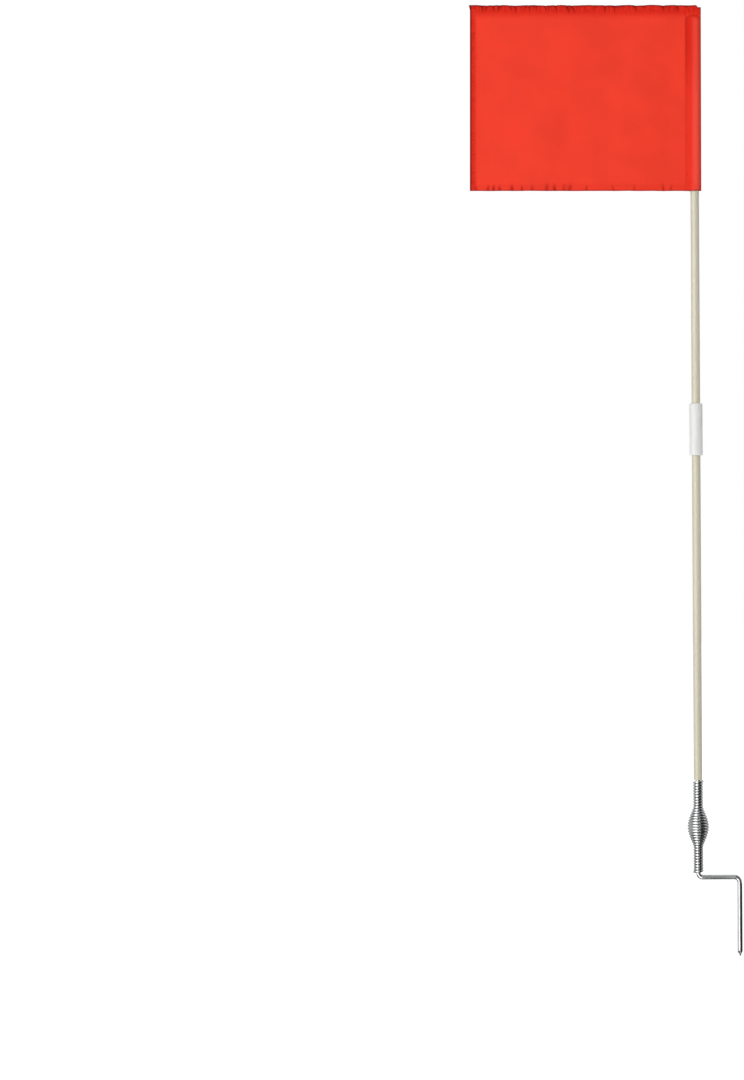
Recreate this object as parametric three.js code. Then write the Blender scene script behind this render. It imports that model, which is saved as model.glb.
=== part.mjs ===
// Corner flag: a cloth flag on a two-section fibreglass pole, which stands on a barrel spring
// and a cranked steel ground peg. Millimetres, +Z up, cloth towards -X.
// The origin is at ground level on the axis of the stake.
import * as THREE from 'three';

// Fits
const clearance = 0.3;          // left between pieces that touch

// Ground peg, one bent rod: stake, crank lying on the ground, riser inside the spring
const rodDiameter = 8;
const stakeDepth = 126;         // ground level to the point
const pointLength = 8;
const pointDiameter = 1.2;      // blunted end of the point
const crankReach = 67.8;        // stake axis to pole axis
const stakeBend = 9;            // bend radii on the rod's centreline
const riserBend = 7;
const riserGrip = 33.5;         // straight rod held by the spring's lower tail
const rodChamfer = 0.8;

// Barrel spring, one wire
const wireDiameter = 3.8;
const coilPitch = 4.55;         // centre to centre of neighbouring coils, along the profile
const barrelDiameter = 35.8;    // outside
const lowerTail = 43;
const barrelLength = 65.5;
const upperTail = 44.2;
const barrelFullness = 1.25;    // 1 is a plain half sine, higher draws the shoulders in
const springStartAngle = 1.25 * Math.PI;

// Steel stub between the spring and the pole
const stubDiameter = 8;
const stubInSpring = 38.5;
const stubInPole = 40;

// Pole sections, fibreglass tube
const poleDiameter = 14;
const poleChamfer = 0.5;
const lowerPoleLength = 575;
const upperPoleLength = 673;

// Connector sleeve over the joint of the two sections
const connectorLength = 85.5;
const connectorDiameter = 21.5;
const connectorEdge = 1.5;
const stopHeight = 3;           // inner ridge that both sections butt against
const stopDiameter = 11;

// Plug in the top of the pole
const plugHead = 3;
const plugSpigot = 14;
const plugEdge = 2;

// Flag cloth
const flagWidth = 381;          // fly edge to the fold of the sleeve
const flagHeight = 305;
const clothThickness = 1.2;
const hemThickness = 1.8;       // folded over and stitched
const topHem = 20;              // above this line the sleeve is stitched shut
const bottomHem = 11;
const flyHem = 14;
const sleeveFold = 11.5;        // pole axis to the sleeve's folded edge
const sleeveSeam = 10.5;        // pole axis to the seam
const cornerDrop = 3.5;         // the sleeve's top corner lies lower than the hem
const foldDepth = 3;            // soft folds across the panel
const foldWidth = 148;
const foldLean = 60;            // sideways drift of a fold from top to bottom
const puckerDepth = 1.3;        // gathers that the hem stitching draws in
const puckerWidth = 26;
const puckerReach = 42;         // how far the gathers run into the panel
const settleWidth = 36;         // cloth beside the seam that the pole keeps flat

// Facets
const rodSides = 16;
const bendSteps = 6;
const curlSteps = 8;
const curlSides = 5;
const curlDivisions = 20;       // in which the spring's profile is measured
const turnedSides = 24;
const edgeSteps = 3;
const panelColumns = 54;
const hemColumns = 2;           // of those, across the fly hem
const panelRows = 5;
const sleeveArcSteps = 4;

// Sizes and heights that follow
const rodRadius = rodDiameter / 2;
const wireRadius = wireDiameter / 2;
const poleRadius = poleDiameter / 2;
const poleBore = stubDiameter / 2 + clearance;
const crankHeight = rodRadius;
const springFoot = crankHeight + riserBend;
const barrelFoot = springFoot + lowerTail;
const springTop = barrelFoot + barrelLength + upperTail;
const barrelRadius = (barrelDiameter - wireDiameter) / 2;
// the flats of a faceted curl clear the round rod inside it
const tailRadius = (Math.max(rodDiameter, stubDiameter) / 2 + clearance
  + wireRadius * Math.cos(Math.PI / curlSides)) / Math.cos(Math.PI / curlSteps);
const lowerPoleFoot = springTop + clearance;
const stopFoot = lowerPoleFoot + lowerPoleLength + clearance;
const connectorFoot = stopFoot + stopHeight / 2 - connectorLength / 2;
const upperPoleFoot = stopFoot + stopHeight + clearance;
const plugFoot = upperPoleFoot + upperPoleLength + clearance;
const sleeveTop = plugFoot + plugHead + clearance;
const flagTop = sleeveTop + topHem;
const flagFoot = flagTop - flagHeight;

// Finishes
const steel = new THREE.MeshStandardMaterial({ color: 0xc4c6c8, metalness: 1, roughness: 0.22 });
const fibreglass = new THREE.MeshStandardMaterial({ color: 0xd8d4bc, roughness: 0.45 });
const whitePlastic = new THREE.MeshStandardMaterial({ color: 0xe9e9e7, roughness: 0.5 });
const blackPlastic = new THREE.MeshStandardMaterial({ color: 0x2a2a2c, roughness: 0.6 });
const redCloth = new THREE.MeshStandardMaterial({ color: 0xee402f, roughness: 0.8 });

function meshFrom(points, triangles) {
  const geometry = new THREE.BufferGeometry();
  geometry.setAttribute('position',
    new THREE.Float32BufferAttribute(points.flatMap((p) => [p.x, p.y, p.z]), 3));
  geometry.setIndex(triangles.flat());
  geometry.computeVertexNormals();
  return geometry;
}

// A closed tube through rings of equal point counts, each ring counter-clockwise seen
// from the tube's far end.
function tubeThrough(rings) {
  const sides = rings[0].length;
  const points = rings.flat();
  const triangles = [];
  for (let ring = 0; ring + 1 < rings.length; ring += 1) {
    for (let side = 0; side < sides; side += 1) {
      const a = ring * sides + side;
      const b = ring * sides + (side + 1) % sides;
      triangles.push([a, b, b + sides], [a, b + sides, a + sides]);
    }
  }
  const last = (rings.length - 1) * sides;
  for (let side = 1; side + 1 < sides; side += 1) {
    triangles.push([0, side + 1, side], [last, last + side, last + side + 1]);
  }
  return meshFrom(points, triangles);
}

function ringAt(centre, across, along, radius, sides) {
  return Array.from({ length: sides }, (_, side) => {
    const angle = (2 * Math.PI * side) / sides;
    return centre.clone()
      .addScaledVector(across, radius * Math.cos(angle))
      .addScaledVector(along, radius * Math.sin(angle));
  });
}

// A profile of [radius, height] points turned about Z. It starts and ends on the axis
// or closes on itself.
function turned(profile) {
  const outline = profile.map(([radius, height]) => new THREE.Vector2(radius, height));
  return new THREE.LatheGeometry(outline, turnedSides).rotateX(Math.PI / 2);
}

// Points of a quarter arc in a turned profile, from one angle on to the next right angle.
function quarterArc(centreRadius, centreHeight, radius, fromAngle) {
  return Array.from({ length: edgeSteps + 1 }, (_, step) => {
    const angle = fromAngle + (Math.PI / 2) * (step / edgeSteps);
    return [centreRadius + radius * Math.cos(angle), centreHeight + radius * Math.sin(angle)];
  });
}

// The rod lies in the XZ plane: up the stake from its point, over the crank towards -X
// and up the riser. Each station is a centre, the direction of the rod and its radius.
function groundPeg() {
  const up = new THREE.Vector3(0, 0, 1);
  const acrossPlane = new THREE.Vector3(0, 1, 0);
  const riserX = -crankReach;
  const riserTop = springFoot + riserGrip;
  const stations = [];
  const addStation = (x, z, direction, radius = rodRadius) => {
    stations.push({ centre: new THREE.Vector3(x, 0, z), direction: direction.clone(), radius });
  };
  addStation(0, -stakeDepth, up, pointDiameter / 2);
  addStation(0, -stakeDepth + pointLength, up);
  for (let step = 0; step <= bendSteps; step += 1) {
    const turn = (Math.PI / 2) * (step / bendSteps);
    addStation(-stakeBend * (1 - Math.cos(turn)), crankHeight - stakeBend * (1 - Math.sin(turn)),
      new THREE.Vector3(-Math.sin(turn), 0, Math.cos(turn)));
  }
  for (let step = 0; step <= bendSteps; step += 1) {
    const turn = (Math.PI / 2) * (1 - step / bendSteps);
    addStation(riserX + riserBend * (1 - Math.cos(turn)),
      crankHeight + riserBend * (1 - Math.sin(turn)),
      new THREE.Vector3(-Math.sin(turn), 0, Math.cos(turn)));
  }
  addStation(riserX, riserTop - rodChamfer, up);
  addStation(riserX, riserTop, up, rodRadius - rodChamfer);
  const rings = stations.map(({ centre, direction, radius }) => {
    const sideways = new THREE.Vector3().crossVectors(acrossPlane, direction);
    return ringAt(centre, sideways, acrossPlane, radius, rodSides);
  });
  return tubeThrough(rings);
}

// Radius and height of the wire's centre, from the bottom coil to the top one.
class SpringProfile extends THREE.Curve {
  getPoint(share, target = new THREE.Vector3()) {
    const low = springFoot + wireRadius;
    const high = springTop - wireRadius;
    const height = low + (high - low) * share;
    const barrelShare = THREE.MathUtils.clamp((height - barrelFoot) / barrelLength, 0, 1);
    const swell = Math.sin(Math.PI * barrelShare) ** barrelFullness;
    return target.set(tailRadius + (barrelRadius - tailRadius) * swell, 0, height);
  }
}

// The wire is a right-handed helix on that profile, its curls an equal pitch apart along it.
// Each cut end runs straight for one wire diameter.
function springRings() {
  const profile = new SpringProfile();
  profile.arcLengthDivisions = curlDivisions * Math.round((springTop - springFoot) / coilPitch);
  const steps = Math.round((curlSteps * profile.getLength()) / coilPitch);
  const stations = profile.getSpacedPoints(steps).map((place, step) => {
    const angle = springStartAngle + (2 * Math.PI * step) / curlSteps;
    const outward = new THREE.Vector3(Math.cos(angle), Math.sin(angle), 0);
    const forward = new THREE.Vector3(-Math.sin(angle), Math.cos(angle), 0);
    const centre = outward.clone().multiplyScalar(place.x).setZ(place.z);
    return { centre, outward, forward };
  });
  const straightEnd = ({ centre, outward, forward }, length) => (
    { centre: centre.clone().addScaledVector(forward, length), outward, forward });
  stations.unshift(straightEnd(stations[0], -wireDiameter));
  stations.push(straightEnd(stations.at(-1), wireDiameter));
  const down = new THREE.Vector3(0, 0, -1);
  return stations.map(({ centre, outward }) => (
    ringAt(centre, outward, down, wireRadius, curlSides)));
}

// Least distance between points on the wire that lie from half a curl to two curls apart,
// with points along every edge of the tube as well as at its corners.
function leastGapToItself(rings) {
  const middleShare = 0.5;
  const halfSteps = [];
  for (let ring = 0; ring + 1 < rings.length; ring += 1) {
    halfSteps.push(rings[ring]);
    halfSteps.push(rings[ring].map((point, side) => (
      point.clone().lerp(rings[ring + 1][side], middleShare))));
  }
  const withMiddles = halfSteps.map((ring) => ring.flatMap((point, side) => (
    [point, point.clone().lerp(ring[(side + 1) % ring.length], middleShare)])));
  const halfCurl = curlSteps;
  const twoCurls = 4 * halfCurl;
  let least = Infinity;
  for (let ring = 0; ring < withMiddles.length; ring += 1) {
    const end = Math.min(withMiddles.length, ring + twoCurls);
    for (let other = ring + halfCurl; other < end; other += 1) {
      for (const point of withMiddles[ring]) {
        for (const across of withMiddles[other]) {
          least = Math.min(least, point.distanceTo(across));
        }
      }
    }
  }
  return least;
}

function groundSpring() {
  const rings = springRings();
  console.log(`ground_spring: ${((rings.length - 3) / curlSteps).toFixed(1)} curls, `
    + `least gap to itself ${leastGapToItself(rings).toFixed(2)} mm`);
  return tubeThrough(rings);
}

function springStub() {
  const radius = stubDiameter / 2;
  const length = stubInSpring + stubInPole;
  return turned([
    [0, 0],
    [radius - rodChamfer, 0],
    [radius, rodChamfer],
    [radius, length - rodChamfer],
    [radius - rodChamfer, length],
    [0, length],
  ]);
}

function poleTube(length) {
  return turned([
    [poleBore, 0],
    [poleRadius - poleChamfer, 0],
    [poleRadius, poleChamfer],
    [poleRadius, length - poleChamfer],
    [poleRadius - poleChamfer, length],
    [poleBore, length],
    [poleBore, 0],
  ]);
}

function poleConnector() {
  const bore = poleRadius + clearance;
  const edgeCentre = connectorDiameter / 2 - connectorEdge;
  const stopLow = (connectorLength - stopHeight) / 2;
  const stopHigh = stopLow + stopHeight;
  return turned([
    [bore, 0],
    ...quarterArc(edgeCentre, connectorEdge, connectorEdge, -Math.PI / 2),
    ...quarterArc(edgeCentre, connectorLength - connectorEdge, connectorEdge, 0),
    [bore, connectorLength],
    [bore, stopHigh],
    [stopDiameter / 2, stopHigh],
    [stopDiameter / 2, stopLow],
    [bore, stopLow],
    [bore, 0],
  ]);
}

function poleCap() {
  const spigot = poleBore - clearance;
  return turned([
    [0, -plugSpigot],
    [spigot - poleChamfer, -plugSpigot],
    [spigot, poleChamfer - plugSpigot],
    [spigot, 0],
    [poleRadius, 0],
    ...quarterArc(poleRadius - plugEdge, plugHead - plugEdge, plugEdge, 0),
    [0, plugHead],
  ]);
}

const smooth = (share) => THREE.MathUtils.smoothstep(share, 0, 1);

// How far the middle of the cloth stands off the flag's plane, at a distance from the seam
// and a height over the cloth's foot.
function clothStandOff(fromSeam, height) {
  const lean = foldLean * (height / flagHeight);
  const broad = Math.sin((2 * Math.PI * (fromSeam + lean)) / foldWidth);
  const gatherPhase = (2 * Math.PI * fromSeam) / puckerWidth;
  const gather = Math.sin(gatherPhase) + Math.sin(gatherPhase / Math.SQRT2);
  const topShare = smooth(1 - (flagHeight - height) / puckerReach);
  const footShare = smooth(1 - height / puckerReach) / 2;
  const freed = smooth(fromSeam / settleWidth);
  return freed * ((foldDepth / 2) * broad + (puckerDepth / 2) * gather * (topShare + footShare));
}

// How far the gathers draw the top or bottom edge in.
function edgeDraw(fromSeam) {
  const phase = (2 * Math.PI * fromSeam) / puckerWidth;
  return (puckerDepth / 2) * (1 - Math.cos(phase)) * smooth(fromSeam / settleWidth);
}

function thicknessAt(fromSeam, height) {
  const panelWidth = flagWidth - sleeveFold - sleeveSeam;
  const inHem = height <= bottomHem || height >= flagHeight - topHem
    || fromSeam >= panelWidth - flyHem;
  return inHem ? hemThickness : clothThickness;
}

// The front half of the sleeve's section as [x, y] on the cloth's outside, from the seam
// round the pole to the fold, with the cloth drawn straight off the pole on both sides.
function sleeveSection() {
  const outer = poleRadius + clearance + clothThickness;
  const seamTurn = Math.acos(outer / sleeveSeam);
  const foldTurn = Math.acos(outer / sleeveFold);
  const section = [];
  for (let step = 0; step <= sleeveArcSteps; step += 1) {
    const angle = Math.PI + seamTurn
      + (Math.PI - seamTurn - foldTurn) * (step / sleeveArcSteps);
    section.push([outer * Math.cos(angle), outer * Math.sin(angle)]);
  }
  section.push([sleeveFold, 0]);
  return section;
}

// Heights over the cloth's foot: both edges, both hem lines and the rows between them.
function clothLevels() {
  const low = bottomHem;
  const high = flagHeight - topHem;
  const levels = [0];
  for (let row = 0; row <= panelRows; row += 1) {
    levels.push(low + (high - low) * (row / panelRows));
  }
  levels.push(flagHeight);
  return levels;
}

// One closed body: the panel with its hems, and the sleeve with its bore, open below.
// Front and back points run from the fly edge to the sleeve's fold, where they meet.
function flagCloth() {
  const levels = clothLevels();
  const top = levels.length - 1;
  const section = sleeveSection();
  const panelWidth = flagWidth - sleeveFold - sleeveSeam;
  const boreShare = (poleRadius + clearance) / (poleRadius + clearance + clothThickness);
  const points = [];
  const triangles = [];
  const add = (x, y, z) => points.push(new THREE.Vector3(x, y, z)) - 1;
  const quad = (a, b, c, d) => triangles.push([a, b, c], [a, c, d]);

  const columnsFrom = [];
  const plainColumns = panelColumns - hemColumns;
  for (let column = 0; column <= panelColumns; column += 1) {
    const fromFly = column <= hemColumns
      ? flyHem * (column / hemColumns)
      : flyHem + (panelWidth - flyHem) * ((column - hemColumns) / plainColumns);
    columnsFrom.push(panelWidth - fromFly);
  }

  const edgeHeight = (level, fromSeam) => {
    if (level === 0) return levels[0] + edgeDraw(fromSeam) / 2;
    if (level === top) return levels[top] - edgeDraw(fromSeam);
    return levels[level];
  };
  const front = [];
  const back = [];
  const bore = [];
  levels.forEach((height, level) => {
    const frontRow = [];
    const backRow = [];
    for (const fromSeam of columnsFrom) {
      const x = -sleeveSeam - fromSeam;
      const middle = clothStandOff(fromSeam, height);
      const half = thicknessAt(fromSeam, height) / 2;
      const z = edgeHeight(level, fromSeam);
      frontRow.push(add(x, middle - half, z));
      backRow.push(add(x, middle + half, z));
    }
    for (const [x, y] of section) {
      const dropped = level === top ? cornerDrop * smooth(x / sleeveFold) : 0;
      frontRow.push(add(x, y, height - dropped));
      backRow.push(y === 0 ? frontRow.at(-1) : add(x, -y, height - dropped));
    }
    front.push(frontRow);
    back.push(backRow);
    if (level < top) {
      const ring = [add(-sleeveSeam * boreShare, 0, height)];
      section.forEach(([x, y]) => ring.push(add(x * boreShare, y * boreShare, height)));
      section.slice(0, -1).reverse().forEach(([x, y]) => (
        ring.push(add(x * boreShare, -y * boreShare, height))));
      bore.push(ring);
    }
  });

  for (let level = 0; level < top; level += 1) {
    const flyLow = [back[level][0], front[level][0]];
    const flyHigh = [back[level + 1][0], front[level + 1][0]];
    quad(flyLow[0], flyLow[1], flyHigh[1], flyHigh[0]);
    for (let i = 0; i + 1 < front[level].length; i += 1) {
      quad(front[level][i], front[level][i + 1], front[level + 1][i + 1], front[level + 1][i]);
      quad(back[level][i + 1], back[level][i], back[level + 1][i], back[level + 1][i + 1]);
    }
  }
  for (let level = 0; level + 1 < top; level += 1) {
    const count = bore[level].length;
    for (let i = 0; i < count; i += 1) {
      const next = (i + 1) % count;
      quad(bore[level][next], bore[level][i], bore[level + 1][i], bore[level + 1][next]);
    }
  }
  const ladderUp = (f, b, last) => {
    for (let i = 0; i < last; i += 1) {
      triangles.push([f[i], f[i + 1], b[i + 1]]);
      if (b[i] !== b[i + 1]) triangles.push([f[i], b[i + 1], b[i]]);
    }
  };
  const foldAt = front[top].length - 1;
  ladderUp(front[top], back[top], foldAt - 1);
  triangles.push([front[top][foldAt - 1], front[top][foldAt], back[top][foldAt - 1]]);

  const seamAt = panelColumns;
  for (let i = 0; i < seamAt; i += 1) {
    quad(front[0][i + 1], front[0][i], back[0][i], back[0][i + 1]);
  }
  const low = bore[0];
  triangles.push([front[0][seamAt], back[0][seamAt], low[0]]);
  for (let i = 0; i < section.length; i += 1) {
    const boreBack = (low.length - i) % low.length;
    quad(front[0][seamAt + i + 1], front[0][seamAt + i], low[i], low[i + 1]);
    quad(back[0][seamAt + i], back[0][seamAt + i + 1], low[low.length - i - 1], low[boreBack]);
  }
  const ceiling = bore[top - 1];
  for (let i = 1; i + 1 < ceiling.length; i += 1) {
    triangles.push([ceiling[0], ceiling[i + 1], ceiling[i]]);
  }
  return meshFrom(points, triangles);
}

function named(name, geometry, material, height = 0) {
  const mesh = new THREE.Mesh(geometry, material);
  mesh.name = name;
  mesh.position.z = height;
  return mesh;
}

const cornerFlag = new THREE.Group();
cornerFlag.add(named('ground_peg', groundPeg(), steel));

const poleLine = new THREE.Group();
poleLine.position.x = -crankReach;
poleLine.add(
  named('ground_spring', groundSpring(), steel),
  named('spring_stub', springStub(), steel, springTop - stubInSpring),
  named('lower_pole', poleTube(lowerPoleLength), fibreglass, lowerPoleFoot),
  named('pole_connector', poleConnector(), whitePlastic, connectorFoot),
  named('upper_pole', poleTube(upperPoleLength), fibreglass, upperPoleFoot),
  named('pole_cap', poleCap(), blackPlastic, plugFoot),
  named('flag_cloth', flagCloth(), redCloth, flagFoot),
);
cornerFlag.add(poleLine);

export default cornerFlag;
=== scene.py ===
"""Corner flag: the finished pieces round the CAD frame, and a white studio to show them in."""

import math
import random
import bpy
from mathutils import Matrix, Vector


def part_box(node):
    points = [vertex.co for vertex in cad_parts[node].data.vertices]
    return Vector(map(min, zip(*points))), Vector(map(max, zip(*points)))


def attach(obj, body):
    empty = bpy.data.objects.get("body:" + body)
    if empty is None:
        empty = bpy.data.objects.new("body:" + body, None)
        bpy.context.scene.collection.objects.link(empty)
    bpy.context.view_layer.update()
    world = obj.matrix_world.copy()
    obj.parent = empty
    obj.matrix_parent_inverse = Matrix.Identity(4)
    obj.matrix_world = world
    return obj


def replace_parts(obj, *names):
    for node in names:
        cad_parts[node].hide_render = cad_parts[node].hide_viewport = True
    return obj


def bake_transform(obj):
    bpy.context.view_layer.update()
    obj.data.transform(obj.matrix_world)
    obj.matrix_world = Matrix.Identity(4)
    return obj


bl_info = {
    "name": "Corner Flag",
    "version": (1, 0, 0),
    "blender": (4, 5, 0),
    "location": "View3D > Sidebar > Corner Flag",
    "description": "Builds the finished pieces of a corner flag round its CAD frame",
    "category": "Object",
}

import bmesh
import bpy
import numpy as np
from mathutils import Vector

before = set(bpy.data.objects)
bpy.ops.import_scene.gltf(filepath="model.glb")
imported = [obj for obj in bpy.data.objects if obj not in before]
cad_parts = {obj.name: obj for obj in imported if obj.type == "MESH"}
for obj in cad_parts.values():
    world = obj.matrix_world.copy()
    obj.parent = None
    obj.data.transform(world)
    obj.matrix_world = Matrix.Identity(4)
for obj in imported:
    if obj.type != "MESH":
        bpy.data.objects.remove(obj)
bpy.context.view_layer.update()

# Sizes that the frame gives, in metres
PEG_LOW, PEG_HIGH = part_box("ground_peg")
SPRING_LOW, SPRING_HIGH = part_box("ground_spring")
STUB_LOW, STUB_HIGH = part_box("spring_stub")
LOWER_LOW, LOWER_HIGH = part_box("lower_pole")
UPPER_LOW, UPPER_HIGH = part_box("upper_pole")
JOINT_LOW, JOINT_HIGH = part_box("pole_connector")
CAP_LOW, CAP_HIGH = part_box("pole_cap")
FLAG_LOW, FLAG_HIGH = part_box("flag_cloth")
POLE_X = (LOWER_LOW.x + LOWER_HIGH.x) / 2
POLE_RADIUS = (LOWER_HIGH.x - LOWER_LOW.x) / 2
ROD_RADIUS = PEG_HIGH.y


# Making tools

MERGED = 1e-6       # points nearer than this become one
LEVEL = 1e-5        # heights nearer than this count as one
FACING = 0.9        # least share of a normal along an axis for a face that looks that way


def start_clean():
    """Leaves edit mode and deselects everything, as an operator acts on all that is selected."""
    if bpy.context.mode != "OBJECT":
        bpy.ops.object.mode_set(mode="OBJECT")
    bpy.ops.object.select_all(action="DESELECT")


def add_object(name, data):
    made = bpy.data.objects.new(name, data)
    bpy.context.collection.objects.link(made)
    return made


def select_only(piece):
    start_clean()
    piece.select_set(True)
    bpy.context.view_layer.objects.active = piece


def begin(name):
    """Names the primitive that was just added and opens it in edit mode with nothing selected."""
    piece = bpy.context.object
    piece.name = piece.data.name = name
    bpy.ops.object.mode_set(mode="EDIT")
    bpy.ops.mesh.select_mode(type="EDGE")
    bpy.ops.mesh.select_all(action="DESELECT")
    return piece


def pick(kind, test):
    """Selects only those verts, edges or faces of the open piece whose middle passes the test."""
    modes = {"verts": "VERT", "edges": "EDGE", "faces": "FACE"}
    bpy.ops.mesh.select_mode(type=modes[kind])
    bpy.ops.mesh.select_all(action="DESELECT")
    body = bmesh.from_edit_mesh(bpy.context.object.data)
    for part in getattr(body, kind):
        points = [part.co] if kind == "verts" else [vert.co for vert in part.verts]
        middle = sum(points, Vector()) / len(points)
        part.select_set(test(middle, part))
    body.select_flush_mode()
    bmesh.update_edit_mesh(bpy.context.object.data)


def extrude(move):
    bpy.ops.mesh.extrude_region_move(TRANSFORM_OT_translate={"value": move})


def close_seams():
    bpy.ops.mesh.select_all(action="SELECT")
    bpy.ops.mesh.remove_doubles(threshold=MERGED)
    bpy.ops.mesh.normals_make_consistent(inside=False)


def end(piece, sharp_angle=35):
    """Closes edit mode, puts the place into the mesh and shades smooth below the sharp angle."""
    bpy.ops.object.mode_set(mode="OBJECT")
    bpy.ops.object.transform_apply(location=True, rotation=True, scale=True)
    bpy.ops.object.shade_smooth_by_angle(angle=math.radians(sharp_angle))
    return piece


def dress(piece, finish):
    piece.data.materials.clear()
    piece.data.materials.append(finish)


def smooth(share):
    """Turns a share from 0 to 1 into one with soft ends. Works on numbers and arrays."""
    share = np.clip(share, 0, 1)
    return share * share * (3 - 2 * share)


def rise(value, start, run):
    """0 up to the start and 1 past the run that follows it, with soft ends."""
    return smooth((value - start) / run)


def fall(value, start, run):
    """1 up to the start and 0 past the run that follows it, with soft ends."""
    return smooth((start + run - value) / run)


def ridge(off, width, power=2):
    """1 where off is 0, and less away from it. A higher power makes a flatter top."""
    return np.exp(-(off / width) ** power)


def mixed(first, second, share):
    """The first where the share is 0, the second where it is 1, and between them elsewhere."""
    return first + (second - first) * share


# Material tools


class Link:
    """A node's output in a material. Arithmetic on it adds Math nodes."""

    def __init__(self, finish, socket):
        self.finish = finish
        self.socket = socket

    def __add__(self, other):
        return self.finish.math("ADD", self, other)

    def __sub__(self, other):
        return self.finish.math("SUBTRACT", self, other)

    def __rsub__(self, other):
        return self.finish.math("SUBTRACT", other, self)

    def __mul__(self, other):
        return self.finish.math("MULTIPLY", self, other)

    __radd__ = __add__
    __rmul__ = __mul__


class Finish:
    """A material or a world, and one method that adds any node to it."""

    def __init__(self, name, owners="materials"):
        self.owner = getattr(bpy.data, owners).new(name)
        self.owner.use_nodes = True
        self.tree = self.owner.node_tree
        self.tree.nodes.clear()

    def node(self, kind, sockets=None, output=0, **settings):
        """Sets the node's settings, then its sockets to values or links, and returns one output."""
        made = self.tree.nodes.new(kind)
        for name, value in settings.items():
            setattr(made, name, value)
        for socket, value in (sockets or {}).items():
            if isinstance(value, Link):
                self.tree.links.new(value.socket, made.inputs[socket])
            else:
                made.inputs[socket].default_value = value
        return Link(self, made.outputs[output])

    def math(self, operation, *values):
        return self.node("ShaderNodeMath", dict(enumerate(values)), operation=operation)

    def place(self):
        return self.node("ShaderNodeTexCoord", output="Object")

    def length(self, vector):
        return self.node("ShaderNodeVectorMath", {0: vector}, output="Value", operation="LENGTH")

    def attribute(self, name, output="Fac"):
        return self.node("ShaderNodeAttribute", output=output, attribute_name=name)

    def scaled(self, vector, scale):
        return self.node("ShaderNodeMapping", {"Vector": vector, "Scale": scale})

    def parts(self, vector):
        """A vector's X and Y as values."""
        split = self.node("ShaderNodeSeparateXYZ", {0: vector})
        return split, Link(self, split.socket.node.outputs[1])

    def noise(self, vector, scale, detail=2.0, roughness=0.5):
        return self.node("ShaderNodeTexNoise", {
            "Vector": vector, "Scale": scale, "Detail": detail, "Roughness": roughness,
        })

    def ramp(self, factor, low, high):
        """0 below low, 1 above high, and straight between them."""
        return self.node("ShaderNodeMapRange", {"Value": factor, "From Min": low, "From Max": high})

    def between(self, factor, first, second):
        """A colour between two, by a factor that varies over the surface."""
        sockets = {0: factor, 6: first, 7: second}
        return self.node("ShaderNodeMix", sockets, output=2, data_type="RGBA")

    def bump(self, height, depth, strength):
        sockets = {"Height": height, "Distance": depth, "Strength": strength}
        return self.node("ShaderNodeBump", sockets)

    def seen_directly(self):
        """1 for camera, glossy and transmission rays."""
        camera, glossy, through = (
            self.node("ShaderNodeLightPath", output=f"Is {kind} Ray")
            for kind in ("Camera", "Glossy", "Transmission"))
        return self.math("MAXIMUM", self.math("MAXIMUM", camera, glossy), through)

    def surface(self, **sockets):
        """The Principled surface. Underscores stand for the spaces in socket names."""
        named = {name.replace("_", " "): value for name, value in sockets.items()}
        return self.shows(self.node("ShaderNodeBsdfPrincipled", named))

    def shows(self, shader, output="ShaderNodeOutputMaterial"):
        """Links the shader to an output node, and returns the material or the world."""
        made = self.tree.nodes.new(output)
        self.tree.links.new(shader.socket, made.inputs["Surface"])
        return self.owner


def grey(level):
    return (level, level, level, 1.0)


def darker(colour, share):
    return (*(share * part for part in colour[:3]), 1.0)


# Settings


def size_property(name, description, default, smallest=0.001):
    return bpy.props.FloatProperty(
        name=name, description=description, default=default, min=smallest, unit="LENGTH")


class FlagSizes(bpy.types.PropertyGroup):
    """Sizes of the finished pieces."""

    wire: size_property("Spring wire", "Diameter of the spring's wire", 0.0042)
    pitch: size_property("Coil pitch", "Centre to centre of neighbouring coils", 0.00455)
    lower_tail: size_property(
        "Lower tail", "Length of spring that grips the ground peg", 0.043, smallest=0.01)
    barrel: size_property("Barrel", "Length of the spring's wide middle", 0.0655, smallest=0.01)
    fullness: bpy.props.FloatProperty(
        name="Barrel fullness", description="1 is a plain half sine, higher draws the shoulders in",
        default=1.25, min=0.5, max=3)
    cloth: size_property("Cloth", "Thickness of the woven cloth", 0.00035, smallest=0.0001)
    top_hem: size_property("Top hem", "Depth of the top hem", 0.016, smallest=0.005)
    foot_hem: size_property("Foot hem", "Depth of the bottom hem", 0.010, smallest=0.005)
    fly_hem: size_property("Fly hem", "Width of the hem along the free edge", 0.011, smallest=0.005)
    stitch: size_property("Stitch", "Length of one stitch", 0.0028)


def colour_property(name, description, default):
    return bpy.props.FloatVectorProperty(
        name=name, description=description, default=default, size=4, min=0, max=1, subtype="COLOR")


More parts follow.
